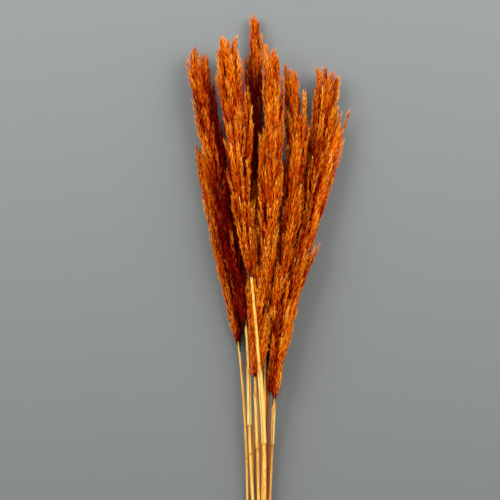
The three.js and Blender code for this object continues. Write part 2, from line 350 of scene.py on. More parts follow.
def plume_material():
    """Dyed floss. The map's U is a branch's own tone with painted shade, and its V runs from painted shade
    at the core to painted light at the tip.
    """
    nodes = Nodes("plume_floss", roughness=0.75, specular=0.03)
    tone, light = nodes.map_axes()
    # Painted shade deep in the plume rising to painted light at its surface, over the floss's orange
    painted_depth_shade = nodes.ramp(light, [
        (0.0, (0.035, 0.0004, 0.0001)), (0.2, (0.13, 0.002, 0.0001)), (0.42, (0.46, 0.024, 0.0002)),
        (0.62, (0.77, 0.147, 0.0005)), (0.84, (0.87, 0.32, 0.008)), (1.0, (0.92, 0.5, 0.14)),
    ])
    # Dark red at the low tones, which carry painted shade on shaded sides and deep plumes as well as each
    # branch's own tone
    tone_and_shade = nodes.ramp(tone, [
        (0.03, (0.19, 0.006, 0.006)), (0.2, (0.34, 0.045, 0.03)), (0.42, (0.86, 0.7, 0.6)),
        (0.6, (1, 1, 1)),
    ])
    patches = nodes.ramp(nodes.noise(26, 2), [(0.3, (0.8, 0.62, 0.5)), (0.6, (1, 1, 1))])
    shaded_floss = nodes.mix(1.0, painted_depth_shade, tone_and_shade, "MULTIPLY")
    return nodes.colour(nodes.mix(1.0, shaded_floss, patches, "MULTIPLY"))


# ---- the room inside a plume

AXIS_STEP = 6 * MM
AXIS_MARGIN = 2 * MM  # between a plume's ends and the first and last place on its axis
STEM_MARGIN = 4 * MM  # the axis leaves the stem this far below its end
ROOM_ANGLES = 24
BLUNT_FROM = 0.95  # past this share of a plume the branches no longer draw together
CAST_FROM = 60 * MM


class PlumeRoom:
    """The room inside a CAD plume: its axis, and how far it reaches from that in each direction across."""

    def __init__(self, name):
        self.name = name
        node, stem_node = f"plume_{name}", f"stem_{name}"
        low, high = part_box(node)
        levels = np.arange(low[1] + AXIS_MARGIN, high[1] - AXIS_MARGIN, AXIS_STEP)
        with_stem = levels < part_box(stem_node)[1][1] - STEM_MARGIN
        centres, _ = sections(node, levels)
        centres[with_stem] = sections(stem_node, levels[with_stem])[0]
        self.line = Line(smoothed(centres, 6))
        self.line_start = low[1]
        self.stations = self.line.along
        self.reach = self.measure(node)

    def measure(self, node):
        """The room's reach by station and angle, smoothed both ways and kept blunt at the tip."""
        surface = surface_of(node)
        angles = FULL_TURN * np.arange(ROOM_ANGLES) / ROOM_ANGLES
        rows = [reach_across(surface, Vector(centre), angles, CAST_FROM) for centre in self.line.points]
        reach = smoothed(np.array(rows), 2)
        last = int(BLUNT_FROM * len(self.stations))
        reach[last:] = reach[last]
        return (np.roll(reach, 1, 1) + 2 * reach + np.roll(reach, -1, 1)) / 4

    def place(self, along, angle, out):
        """Points by distance along the axis, angle round it and share of the room's reach."""
        row = np.interp(along, self.stations, np.arange(len(self.stations)))
        column = (angle / FULL_TURN * ROOM_ANGLES) % ROOM_ANGLES
        below = np.floor(row).astype(int).clip(0, len(self.stations) - 2)
        before = np.floor(column).astype(int) % ROOM_ANGLES
        after = (before + 1) % ROOM_ANGLES
        up, turned = row - below, column - np.floor(column)
        low = self.reach[below, before] * (1 - turned) + self.reach[below, after] * turned
        high = self.reach[below + 1, before] * (1 - turned) + self.reach[below + 1, after] * turned
        reach = low * (1 - up) + high * up
        outward = np.stack([np.cos(angle), np.zeros_like(angle), np.sin(angle)], -1)
        return self.line.at(along) + outward * (reach * out)[..., None]


# ---- spikelets and branch stalks

UPPERMOST = ("front_left", "left")  # no floss lies on these stems
STEM_CLEARANCE = 0.6 * MM
MARK_RANGE = (0.01, 0.99)  # of tones and lights on the map

# A spikelet's five corners: base, one flank, keel, other flank and tip
SPIKELET_FACES = np.array([(0, 2, 1), (0, 3, 2), (0, 1, 3), (4, 1, 2), (4, 2, 3), (4, 3, 1)])
SPIKELET_TONES = np.array([0, -0.01, 0, 0.01, 0])
# Painted shade at each spikelet's base and flanks, and painted light on its keel and tip
SPIKELET_LIGHTS = np.array([-0.18, -0.08, 0.03, -0.08, 0.08])
BELLY = 0.38  # a spikelet is widest this far along
KEEL_HEIGHT = 0.42  # as a share of its width
TIP_DROOP = 0.06  # as a share of its length

STALK_SIDES = 3
STALK_RADIUS = 0.4 * MM
STALK_TIP = 0.25  # of its radius
STALK_TONES = np.array([-0.01, 0, 0.01])
STALK_LIGHTS = (-0.2, 0.1)  # painted shade at its foot to painted light at its tip, added to its own painted light


def clear_of_stems(points, stems):
    """Which points are outside the bare part of all of these stems, and not on top of an uppermost one."""
    clear = np.ones(len(points), bool)
    for stem in stems:
        spine = stem.line.points
        x, z = (np.interp(points[:, 1], spine[:, 1], spine[:, i]) for i in (0, 2))
        radius = stem.radius(np.interp(points[:, 1], spine[:, 1], stem.line.along)) + STEM_CLEARANCE
        beside = points[:, 1] < spine[0, 1] + stem.bare
        near = np.hypot(points[:, 0] - x, points[:, 2] - z) < radius
        if stem.name in UPPERMOST:
            near |= (np.abs(points[:, 0] - x) < radius) & (points[:, 2] > z)
        clear &= ~(near & beside)
    return clear


class Sprigs:
    """Collects a plume's closed little solids: spikelets and branch stalks."""

    def __init__(self, other_stems):
        self.other_stems = other_stems
        self.vertices, self.faces, self.marks, self.count = [], [], [], 0

    def add(self, vertices, faces, tones, lights):
        marks = np.stack([tones, lights], -1).reshape(-1, 2).clip(*MARK_RANGE)
        self.vertices.append(vertices.reshape(-1, 3))
        self.faces.append(faces.reshape(-1, 3) + self.count)
        self.marks.append(marks)
        self.count += len(marks)

    def arrays(self):
        return np.concatenate(self.vertices), np.concatenate(self.faces), np.concatenate(self.marks)

    def add_spikelets(self, base, along, outward, length, width, tone, light):
        """Slender seed husks, keel outwards. Any that would enter another stalk's bare stem is left out."""
        clear = clear_of_stems(base + along * (length * 0.5)[:, None], self.other_stems)
        base, along, outward, length = base[clear], along[clear], outward[clear], length[clear]
        width, tone, light = width[clear], tone[clear], light[clear]
        across = unit(np.cross(along, outward))
        normal = unit(np.cross(across, along))
        belly = base + along * (length * BELLY)[:, None]
        half = across * (width / 2)[:, None]
        keel = normal * (width * KEEL_HEIGHT)[:, None]
        tip = base + along * length[:, None] - normal * (length * TIP_DROOP)[:, None]
        vertices = np.stack([base, belly - half, belly + keel, belly + half, tip], 1)
        faces = np.arange(len(base))[:, None, None] * 5 + SPIKELET_FACES
        self.add(vertices, faces, tone[:, None] + SPIKELET_TONES, light[:, None] + SPIKELET_LIGHTS)

    def add_stalks(self, points, tone, light):
        """Thin three-sided branch stalks that taper to their tips: points is (branches, steps, 3)."""
        branches, steps, _ = points.shape
        side, top = side_and_top(unit(np.gradient(points, axis=1)))
        shrink = np.linspace(1, STALK_TIP, steps)[None, :, None] * STALK_RADIUS
        rings = []
        for k in range(STALK_SIDES):
            angle = FULL_TURN * k / STALK_SIDES
            rings.append(points + (side * math.cos(angle) + top * math.sin(angle)) * shrink)
        tube = []
        for s in range(steps - 1):
            for k in range(STALK_SIDES):
                a, b = s * STALK_SIDES + k, s * STALK_SIDES + (k + 1) % STALK_SIDES
                above_a, above_b = a + STALK_SIDES, b + STALK_SIDES
                tube += [(a, above_a, b), (b, above_a, above_b)]
        corners = steps * STALK_SIDES
        tube += [(0, 1, 2), (corners - 1, corners - 2, corners - 3)]
        faces = np.arange(branches)[:, None, None] * corners + np.array(tube)
        shape = (branches, steps, STALK_SIDES)
        tones = np.broadcast_to(tone[:, None, None] + STALK_TONES, shape)
        from_foot = np.linspace(*STALK_LIGHTS, steps)[None, :, None]
        lights = np.broadcast_to(light[:, None, None] + from_foot, shape)
        self.add(np.stack(rings, 2), faces, tones, lights)


# ---- tufts: a plume's side branches

TUFTS_PER_METRE = 1560
CLUMP = 4  # tufts that share a branch, and so a side, a height and a tone
CLUMP_TURN = math.pi * (3 - math.sqrt(5))  # the golden angle, from one clump to the next
CLUMP_TURN_SPREAD = 0.25
CLUMP_SPREAD = 6 * MM
TUFT_TURN_SPREAD = 0.2
BRANCH_STEPS = 8
TUFT_LENGTH = (34 * MM, 66 * MM)
SHORT_TUFT = 0.6 * TUFT_LENGTH[0]
SHORT_FADE = 10 * MM
TUFT_FOOT = (0.1, 0.4)  # where tufts leave the rachis, as a share of the room's reach
TUFT_BOW = 0.85  # below 1 a tuft leaves the rachis steeply and then bends upwards
TUFT_WAVE = 0.05
TUFT_WAVES = (3, 7)  # radians along a tuft
WAVE_STARTS = (0, 6)  # radians
TUFT_SWING = 0.16
LOWEST_END = 12 * MM
FIRST_END = 16 * MM  # the lowest clump's tufts end about here
LAST_END = 10 * MM  # past the axis's end, where the highest clump's would end but for TOP
TOP = 2 * MM  # past the axis's end, where the longest tufts are cut off
UNEVEN_TOP = 4 * MM
EXTRA_FOOT = (2, 16)  # millimetres that a tuft may start below the plume's own start
CLUMP_INNER, CLUMP_OUTER = 0.42, 1.04  # of the room's reach, where clumps end
CLUMP_CROWDING = 0.55  # below 1 more of them end near the surface
TUFT_SHORTFALL = (0.86, 1.0)

PAIR_SPACING = 2.7 * MM  # between pairs of spikelets on a tuft
PAIRS = (4, 60)  # the fewest and the most on a tuft
PAIR_TURN = 2.4  # from one pair to the next
PAIR_TURN_SPREAD = 0.5
BARE_SHARE = 0.22  # of a tuft's length, next to the rachis
SPIKELET_TILT = (0.08, 0.42)
SPIKELET_LENGTH = (8, 14)  # millimetres
SPIKELET_WIDTH = (1.15, 1.75)  # millimetres
FOOT_LENGTH, FOOT_WIDTH = 1.05, 1.1  # of spikelets at a tuft's foot, times the usual
TIP_LOSS = 0.3  # what they lose of that towards the tip
INNER_PAINTED_LIGHT = 0.3  # painted light at the rachis, as a share of what the surface gets
# Painted light on the map's V: the least, what the plume's surface adds, and what the short foot tufts add
LEAST_LIGHT, SURFACE_PAINTED_LIGHT, SHORT_LIGHT = 0.22, 0.58, 0.26
TUFT_LIGHT_SPREAD = 0.09
SPIKELET_LIGHT_SPREAD = 0.05
SPIKELET_TONE_SPREAD = 0.07
HAIRS = 4  # at each tuft's tip
HAIR_FOOT = (0.82, 1.0)  # of the tuft's length
HAIR_TILT = (0.05, 0.35)
HAIR_LENGTH = (5, 10)  # millimetres
HAIR_WIDTH = 0.32 * MM
HAIR_LIGHT = (0.76, 1.0)

# Plumes that end at a slant: the side that reaches highest, in degrees from the right towards the top, and
# how many millimetres the other side lies lower
SLANTED_TOPS = {
    "left": (160, 13), "left_low": (185, 42), "front_right": (150, 20), "right": (150, 12),
    "tall": (150, 6), "inner_right": (160, 8), "right_low": (140, 26),
}

# Branches that stand away from their plume: the share along it that they end at, the direction from its
# axis in degrees from the right towards the top, and how many millimetres they reach past its surface
STRAYS = {
    "left": [(0.97, 170, 2), (0.74, 20, 3), (0.62, 15, 3)],
    "left_low": [(1.03, 165, 3), (0.98, 175, 5), (0.9, 160, 3), (0.76, 170, 3)],
    "front_left": [(0.93, 20, 4), (0.85, 165, 3), (0.79, 8, 5), (0.73, 4, 6), (0.66, 10, 4)],
    "front_right": [(0.88, 12, 3), (0.66, 176, 4), (0.58, 172, 4)],
    "tall": [(0.95, 20, 5), (0.86, 160, 5), (0.82, 30, 5)],
    "inner_right": [(0.92, 15, 9), (0.9, 25, 6), (0.84, 15, 4), (0.79, 10, 7), (0.73, 18, 5)],
    "right": [(0.86, 20, 3), (0.7, 10, 3)],
    "right_low": [(1.05, 15, 4), (0.94, 12, 5), (0.8, 15, 4), (0.55, 15, 5)],
}

# Branches laid over the stems and gaps beside their plume, at even steps along it
DRAPES = {
    "middle_low": [(0.1 + 0.022 * i, 4 + 7 * (i % 4), 4 + 1.5 * (i % 3)) for i in range(12)],
    "inner_right": [(0.06 + 0.02 * i, 165 + 5 * (i % 3), 3 + i % 3) for i in range(5)],
    "right_low": [(0.05 + 0.02 * i, 150 + 8 * (i % 4), 3 + i % 3) for i in range(13)],
    "tall": [(0.6 + 0.035 * i, 175 - 8 * (i % 3), 3 + i % 3) for i in range(9)],
}
STRAY_LINES = 3  # tufts that lie together in such a branch
STRAY_LENGTH = (60 * MM, 85 * MM)
STRAY_FOOT = 0.4  # where it leaves the rachis, as a share of the room's reach
STRAY_SHORTER = (0, 9)  # millimetres
STRAY_CLOSER = (0, 2.5)  # millimetres
STRAY_TURN_SPREAD = 0.1
STRAY_EXTRA_FOOT = 8 * MM
LEAST_REACH = 3 * MM


def tuft_lines(rng, room, end, length, angle, inner, outer):
    """Centre lines of tufts, with their lengths, outer ends and angles."""
    count = len(end)
    share = np.linspace(0, 1, BRANCH_STEPS)[None, :]
    along = end[:, None] - (1 - share) * length[:, None]
    out = inner[:, None] + (outer - inner)[:, None] * share**TUFT_BOW
    turns, start = (rng.uniform(*span, count)[:, None] for span in (TUFT_WAVES, WAVE_STARTS))
    wave = TUFT_WAVE * np.sin(share * turns + start)
    swing = rng.normal(0, TUFT_SWING, count)[:, None] * share
    return room.place(along, angle[:, None] + swing, out + wave * share), length, outer, angle


def grow_tufts(rng, room):
    """Clumps of tufts that leave the rachis all the way up and end on or near the plume's surface."""
    whole = room.line.length
    clumps = int(TUFTS_PER_METRE * whole) // CLUMP
    count = clumps * CLUMP
    rank = (np.arange(clumps) + rng.uniform(0, 1, clumps)) / clumps
    clump_angle = np.arange(clumps) * CLUMP_TURN + rng.normal(0, CLUMP_TURN_SPREAD, clumps)
    clump_outer = CLUMP_INNER + (CLUMP_OUTER - CLUMP_INNER) * rng.uniform(0, 1, clumps) ** CLUMP_CROWDING
    length = rng.uniform(*TUFT_LENGTH, count)
    end = FIRST_END + np.repeat(rank, CLUMP) * (whole + LAST_END - FIRST_END)
    end = end + rng.normal(0, CLUMP_SPREAD, count)
    angle = np.repeat(clump_angle, CLUMP) + rng.normal(0, TUFT_TURN_SPREAD, count)
    top = whole - rng.exponential(UNEVEN_TOP, count) + TOP
    if room.name in SLANTED_TOPS:
        degrees, drop = SLANTED_TOPS[room.name]
        top -= drop * MM * (1 - np.cos(angle - math.radians(degrees))) / 2
    end = np.minimum(end, top).clip(LOWEST_END)
    length = np.minimum(length, end + rng.uniform(*EXTRA_FOOT, count) * MM)
    inner = rng.uniform(*TUFT_FOOT, count)
    outer = np.repeat(clump_outer, CLUMP) * rng.uniform(*TUFT_SHORTFALL, count)
    return tuft_lines(rng, room, end, length, angle, inner, outer)


def grow_strays(rng, room):
    """The tufts of a plume's strays and drapes, or None where it has none."""
    mine = STRAYS.get(room.name, []) + DRAPES.get(room.name, [])
    if not mine:
        return None
    shares, degrees, outs = (np.repeat(np.array(column, float), STRAY_LINES) for column in zip(*mine))
    count = len(shares)
    end = shares * room.line.length - rng.uniform(*STRAY_SHORTER, count) * MM
    outs = outs - rng.uniform(*STRAY_CLOSER, count)
    length = np.minimum(rng.uniform(*STRAY_LENGTH, count), end + STRAY_EXTRA_FOOT)
    angle = np.radians(degrees) + rng.normal(0, STRAY_TURN_SPREAD, count)
    reach = room.reach[np.searchsorted(room.stations, np.minimum(end, room.stations[-1]))].mean(1)
    outer = 1 + outs * MM / np.maximum(reach, LEAST_REACH)
    return tuft_lines(rng, room, end, length, angle, np.full(count, STRAY_FOOT), outer)


def frames_on(points, which, share, turn):
    """Places, directions and outward sides at shares of the lines' lengths."""
    place = share.clip(0, 1) * (BRANCH_STEPS - 1)
    k = np.floor(place).astype(int).clip(0, BRANCH_STEPS - 2)
    rest = (place - k)[:, None]
    base = points[which, k] * (1 - rest) + points[which, k + 1] * rest
    along = unit(points[which, k + 1] - points[which, k])
    side, top = side_and_top(along)
    return base, along, side * np.cos(turn)[:, None] + top * np.sin(turn)[:, None]


def set_pairs(rng, sprigs, points, length, outer, tone):
    """Sets spikelets in pairs along every tuft, pressed upwards. Painted light makes those nearer the
    plume's surface paler.

    Painted light also makes those on the short tufts at the plume's foot paler, as no longer ones lie over
    them.
    """
    counts = (length * (1 - BARE_SHARE) / PAIR_SPACING).astype(int).clip(*PAIRS)
    short = np.exp(-(length - SHORT_TUFT).clip(0) / SHORT_FADE)
    own_light = rng.normal(0, TUFT_LIGHT_SPREAD, len(points))
    which = np.repeat(np.arange(len(points)), counts)
    rank = np.concatenate([np.arange(n) for n in counts])
    share = BARE_SHARE + (1 - BARE_SHARE) * (rank + rng.uniform(0, 0.9, len(rank))) / counts[which]
    lit_share = INNER_PAINTED_LIGHT + (1 - INNER_PAINTED_LIGHT) * np.minimum(outer, 1.0)[which]
    for pair in range(2):
        turn = rank * PAIR_TURN + pair * math.pi + rng.normal(0, PAIR_TURN_SPREAD, len(rank))
        base, along, outward = frames_on(points, which, share, turn)
        tilt = rng.uniform(*SPIKELET_TILT, len(rank))[:, None]
        axis = unit(along * np.cos(tilt) + outward * np.sin(tilt))
        reach = rng.uniform(*SPIKELET_LENGTH, len(rank)) * MM * (FOOT_LENGTH - TIP_LOSS * share)
        width = rng.uniform(*SPIKELET_WIDTH, len(rank)) * MM * (FOOT_WIDTH - TIP_LOSS * share)
        # painted shade deep in the plume, painted light near its surface and on the short foot tufts
        light = LEAST_LIGHT + SURFACE_PAINTED_LIGHT * share * lit_share + SHORT_LIGHT * short[which] + own_light[which]
        light = light + rng.normal(0, SPIKELET_LIGHT_SPREAD, len(rank))
        own_tone = tone[which] + rng.normal(0, SPIKELET_TONE_SPREAD, len(rank))
        sprigs.add_spikelets(base, axis, outward, reach, width, own_tone, light)


def set_hairs(rng, sprigs, points, tone):
    """Sets a few fine, pale hairs at every tuft's tip."""
    which = np.repeat(np.arange(len(points)), HAIRS)
    count = len(which)
    share = rng.uniform(*HAIR_FOOT, count)
    base, along, outward = frames_on(points, which, share, rng.uniform(0, FULL_TURN, count))
    axis = unit(along + outward * rng.uniform(*HAIR_TILT, count)[:, None])
    reach = rng.uniform(*HAIR_LENGTH, count) * MM
    light = rng.uniform(*HAIR_LIGHT, count)
    sprigs.add_spikelets(base, axis, outward, reach, np.full(count, HAIR_WIDTH), tone[which], light)


# ---- plumes

# Lower tones for plumes that lie under or between others in the bundle: painted shade
SHADED_PLUME_TONES = {"tall": 0.42, "back_middle": 0.36, "left": 0.5, "left_low": 0.46, "inner_right": 0.56}
USUAL_TONE = 0.62
CLUMP_TONE_SPREAD = 0.12
TUFT_TONE_SPREAD = 0.06
TONE_RANGE = (0.02, 0.98)
BRANCH_LIGHT = (0.1, 0.3)  # painted light on a branch stalk: at the rachis, and what the surface adds

# Sides of a plume that get painted shade: the direction from its axis in degrees from the
# right towards the top, how much darker it is, and the shares of the plume between which that comes in
# downwards
BELOW_TIP = (0.95, 0.82)
SIDE_FOCUS = 1.4  # above 1 a side is narrower than half of the plume
SHADED_SIDES = {
    "left": [(25, 0.52, BELOW_TIP), (150, 0.5, (0.62, 0.5))],
    "left_low": [(25, 0.4, BELOW_TIP)],
    "front_left": [(10, 0.2, BELOW_TIP)],
    "right": [(170, 0.36, BELOW_TIP)],
    "inner_right": [(175, 0.22, BELOW_TIP)],
    "right_low": [(165, 0.42, BELOW_TIP)],
}

# Plumes in the heart of the bundle, which get painted shade: the shares of their length between which it
# comes in downwards
SHADED_DEEP_PLUMES = {"tall": (0.91, 0.78), "back_middle": (1.1, 1.0)}
DEEP_SHADE_TONE = 0.38
FLOOR_GAP = 0.3 * MM


def painted_shade_share(room, points, shares):
    """0 for branches that end above the first of these shares of a plume, rising to 1 below the second."""
    high, low = (share * room.line.length + room.line_start for share in shares)
    return 1 - smooth_step(points[:, -1, 1], low, high)


def branch_tones(rng, room, points, angle):
    """Each tuft's tone on the map, with painted shade: darker on the plume's shaded sides and deep in the
    bundle.
    """
    count = len(points)
    clump_tone = rng.normal(SHADED_PLUME_TONES.get(room.name, USUAL_TONE), CLUMP_TONE_SPREAD, count)
    tone = np.repeat(clump_tone, CLUMP)[:count] + rng.normal(0, TUFT_TONE_SPREAD, count)
    for degrees, darker, shares in SHADED_SIDES.get(room.name, []):
        facing = np.cos(angle - math.radians(degrees)).clip(0) ** SIDE_FOCUS
        tone -= darker * facing * painted_shade_share(room, points, shares)
    if room.name in SHADED_DEEP_PLUMES:
        tone -= DEEP_SHADE_TONE * painted_shade_share(room, points, SHADED_DEEP_PLUMES[room.name])
    return tone.clip(*TONE_RANGE)


def make_plume(name, other_stems, seed, material):
    rng = np.random.default_rng(seed)
    room = PlumeRoom(name)
    sprigs = Sprigs(other_stems)
    groups = [grow_tufts(rng, room), grow_strays(rng, room)]
    for points, length, outer, angle in filter(None, groups):
        tone = branch_tones(rng, room, points, angle)
        sprigs.add_stalks(points, tone, BRANCH_LIGHT[0] + BRANCH_LIGHT[1] * outer)
        set_pairs(rng, sprigs, points, length, outer, tone)
        set_hairs(rng, sprigs, points, tone)
    vertices, faces, marks = sprigs.arrays()
    vertices[:, 2] = np.maximum(vertices[:, 2], FLOOR_GAP)
    corner_map = marks[faces.ravel()]
    make_piece(f"plume_{name}_floss", vertices, faces, corner_map, material, f"plume_{name}")


# ---- swept solids


def rings_along(points, radii, angles):
    """Rings of points round a line: radii has a row for each point and a column for each angle."""
    side, top = side_and_top(unit(np.gradient(points, axis=0)))
    across = side[:, None] * np.cos(angles)[None, :, None] + top[:, None] * np.sin(angles)[None, :, None]
    return points[:, None] + across * radii[..., None]


def sweep(rings, rows, closed=False):
    """A tube through rings: vertices, triangles and corner map. Its ends are closed, or meet each other."""
    count, sides, _ = rings.shape
    vertices = rings.reshape(-1, 3)
    columns = np.linspace(0, 1, sides + 1)
    triangles, marks = [], []
    for i in range(count if closed else count - 1):
        below, above = i * sides, (i + 1) % count * sides
        low, high = rows[i], rows[i + 1]
        for k in range(sides):
            after = (k + 1) % sides
            left, right = columns[k], columns[k + 1]
            triangles += [(below + k, above + after, below + after), (below + k, above + k, above + after)]
            marks.append(((left, low), (right, high), (right, low)))
            marks.append(((left, low), (left, high), (right, high)))
    if not closed:
        middles = np.stack([rings[0].mean(0), rings[-1].mean(0)])
        vertices = np.concatenate([vertices, middles])
        first, last = count * sides, count * sides + 1
        end = (count - 1) * sides
        for k in range(sides):
            after = (k + 1) % sides
            left, right = columns[k], columns[k + 1]
            triangles += [(first, k, after), (last, end + after, end + k)]
            marks.append(((left, 0), (left, rows[0]), (right, rows[0])))
            marks.append(((left, 1), (right, rows[-1]), (left, rows[-1])))
    return vertices, np.array(triangles), np.array(marks).reshape(-1, 2)


# ---- stems

STEM_SIDES = 24
STEM_STEP = 3 * MM
STEM_TIP_RADIUS = 0.2 * MM
SECTION_MARGIN = 1.5 * MM  # between a stem's ends and the first and last section read from it
SECTION_STEP = 1 * MM
STEM_SMOOTHING = 30  # sections
FIRST_ROW, ALL_ROWS = 0.02, 0.975  # the map's V at the cut end, and what the stem takes of it
HOLLOW_ROWS = (0.006, 0.012)
RIDGES = 11
RIDGE_HEIGHT = 0.016  # as a share of the radius
RIDGE_NOISE = 0.012

JOINT_LIFT = 0.12 * MM  # a radius this far over the taper marks a joint
JOINT_REACH = 6 * MM  # the taper is read this far from a joint
JOINT_APART = 8
END_SECTIONS = 3  # at each end of a stem, where no joint is looked for
JOINT_WIDTH = 1.7 * MM
JOINT_BULGE = 0.3 * MM
JOINT_GROOVE = 0.22 * MM
GROOVE_SHIFT = 0.12  # of the joint's width
GROOVE_SHARPNESS = 7
JOINT_RINGS = (-2.4, -1.6, -0.9, -0.45, -0.15, 0.15, 0.5, 1.0, 1.8, 2.8)  # millimetres from its middle

CUT_RIM = 0.4 * MM
CUT_BEVEL = 0.12 * MM
STEM_WALL = 0.3  # share of the radius that is wood, at the cut end
PITH_DEPTH = 1.6 * MM


def find_joints(at, lift):
    """Places where a stem stands highest over its taper, of JOINT_APART sections on both sides."""
    joints = []
    for i in range(END_SECTIONS, len(at) - END_SECTIONS):
        near = lift[max(i - JOINT_APART, 0):i + JOINT_APART + 1]
        if lift[i] > JOINT_LIFT and lift[i] == near.max():
            joints.append(at[i])
    return joints


class Stem:
    """A CAD stem's centre line, its even taper and its joints."""

    def __init__(self, name):
        self.name = name
        self.node = f"stem_{name}"
        low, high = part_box(self.node)
        levels = np.arange(low[1] + SECTION_MARGIN, high[1] - SECTION_MARGIN, SECTION_STEP)
        centres, radii = sections(self.node, levels)
        margin = [[0, SECTION_MARGIN, 0]]
        centres = np.concatenate([centres[:1] - margin, centres, centres[-1:] + margin])
        self.line = Line(smoothed(centres, STEM_SMOOTHING))
        self.start = low[1]
        self.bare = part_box(f"plume_{name}")[0][1] - low[1]
        at = levels - low[1]
        shifts = (-JOINT_REACH, 0, JOINT_REACH)
        plain = np.minimum.reduce([np.interp(at + shift, at, radii) for shift in shifts])
        self.taper = (at, smoothed(plain, 2 * STEM_SMOOTHING))
        self.joints = find_joints(at, radii - self.taper[1])

    def radius(self, along):
        return np.interp(along, *self.taper)

    def row(self, along):
        """The map's V at this distance from the cut end."""
        return FIRST_ROW + ALL_ROWS * along / self.line.length


def ring_places(stem):
    """Distances from the cut end at which a stem gets a ring: even steps, and closer ones at the joints."""
    places = [0, CUT_RIM, *np.arange(STEM_STEP, stem.line.length - 1 * MM, STEM_STEP), stem.line.length]
    for joint in stem.joints:
        places += [joint + step * MM for step in JOINT_RINGS]
    return np.unique(np.round(places, 5))


def culm_radius(stem, along):
    """The taper with a grooved bulge at each joint, a bevelled cut end and a fine tip."""
    radius = stem.radius(along)
    for joint in stem.joints:
        away = (along - joint) / JOINT_WIDTH
        bulge = JOINT_BULGE * np.exp(-away**2)
        groove = JOINT_GROOVE * np.exp(-((away - GROOVE_SHIFT) * GROOVE_SHARPNESS) ** 2)
        radius = radius + bulge - groove
    radius[0] -= CUT_BEVEL
    radius[-1] = STEM_TIP_RADIUS
    return radius


def hollow_end(body):
    """Two rings inside the cut end: the bore's edge, and the pith that has sunk below it."""
    rim = body[0]
    centre = rim.mean(0)
    inward = unit((body[1] - rim).mean(0))
    bore = centre + (rim - centre) * (1 - STEM_WALL) + inward * 0.1 * MM
    pith = centre + (rim - centre) * (0.9 - STEM_WALL) + inward * PITH_DEPTH
    return [pith, bore]


def make_stem(stem, seed):
    rng = np.random.default_rng(seed)
    along = ring_places(stem)
    radius = culm_radius(stem, along)
    angles = np.linspace(0, FULL_TURN, STEM_SIDES, endpoint=False)
    ridges = 1 + RIDGE_HEIGHT * np.sin(RIDGES * angles + rng.uniform(*WAVE_STARTS))[None, :]
    ridges = ridges + RIDGE_NOISE * rng.normal(0, 1, (1, STEM_SIDES))
    points = stem.line.at(along)
    points[:, 2] = np.maximum(points[:, 2], radius)
    body = rings_along(points, radius[:, None] * ridges, angles)
    rings = np.concatenate([hollow_end(body), body])
    rows = np.concatenate([HOLLOW_ROWS, stem.row(along)])
    vertices, triangles, corner_map = sweep(rings, rows)
    material = stem_material(stem)
    make_piece(f"stem_{stem.name}_culm", vertices, triangles, corner_map, material, stem.node)


DYE = (0.62, 0.13, 0.002)
# Colour of the painted shade on a stem's sides and underside
SIDE_SHADE_COLOUR = (0.86, 0.38, 0.07)
# Colour of the painted shade on stems deep in the bundle
STEM_PAINTED_SHADE = (0.38, 0.05, 0.0005)
FRECKLE = (0.42, 0.12, 0.012)
JOINT_STAIN = (0.36, 0.075, 0.006)
PITH = (0.78, 0.6, 0.33)
DEEP_STEM_SHADE_AND_DYE = {  # the share of painted shade on stems deep in the bundle, which also adds to their dye blotches
    "tall": 0.45, "inner_right": 0.7, "right": 0.4, "back_middle": 0.7, "right_low": 0.15, "left": 0.1,
}
# Painted shade round a stem, darkest on its sides and underside, by the share of a turn from the right over
# the top
SIDE_SHADE = [
    (0.0, 0.95), (0.13, 0.55), (0.22, 0.05), (0.3, 0.05), (0.38, 0.55), (0.5, 0.95), (0.75, 1), (1.0, 0.95),
]


def stem_material(stem):
    """Straw with fine lengthwise streaks, stained by the dye in blotches and freckles, with painted shade
    on its sides and underside and on stems deep in the bundle.
    """
    shade_and_dye = DEEP_STEM_SHADE_AND_DYE.get(stem.name, 0.0)
    nodes = Nodes(f"straw_{stem.name}", roughness=0.5, specular=0.12)
    around, along = nodes.map_axes()
    streaks = nodes.noise(900, 4, (1, 0.02, 1), 0.7)
    straw = nodes.ramp(streaks, [
        (0.3, (0.56, 0.12, 0.002)), (0.42, (0.9, 0.44, 0.04)), (0.54, (1.0, 0.7, 0.16)),
        (0.72, (1.0, 0.85, 0.38)),
    ])
    stained = nodes.mix(dye_share(nodes, along, stem.row(stem.bare), shade_and_dye), straw, DYE)
    freckles = nodes.grey_ramp(nodes.noise(420, 2, (1, 0.5, 1)), [(0.66, 0), (0.72, 0.8)])
    spotted = nodes.mix(nodes.math("MULTIPLY", freckles, 0.7), stained, FRECKLE)
    # Painted shade: a stem's sides and underside darker and oranger, its top lighter
    shaded_sides = nodes.mix(0.75, spotted, SIDE_SHADE_COLOUR, "MULTIPLY")
    shaded = nodes.mix(nodes.grey_ramp(around, SIDE_SHADE), spotted, shaded_sides)
    # Painted shade on stems deep in the bundle
    shaded = nodes.mix(shade_and_dye, shaded, STEM_PAINTED_SHADE)
    for joint in stem.joints:
        row = stem.row(joint)
        stops = [(row - 0.003, 0), (row - 0.0005, 0.6), (row + 0.0005, 0.6), (row + 0.002, 0)]
        shaded = nodes.mix(nodes.grey_ramp(along, stops), shaded, JOINT_STAIN)
    end = nodes.grey_ramp(along, [(0.0, 0.75), (0.012, 0.9), (0.02, 0)])
    nodes.feed(nodes.grey_ramp(streaks, [(0.3, 0.62), (0.7, 0.4)]), nodes.shader.inputs["Roughness"])
    nodes.bump(streaks, 0.35, 0.15 * MM)
    return nodes.colour(nodes.mix(end, shaded, PITH))


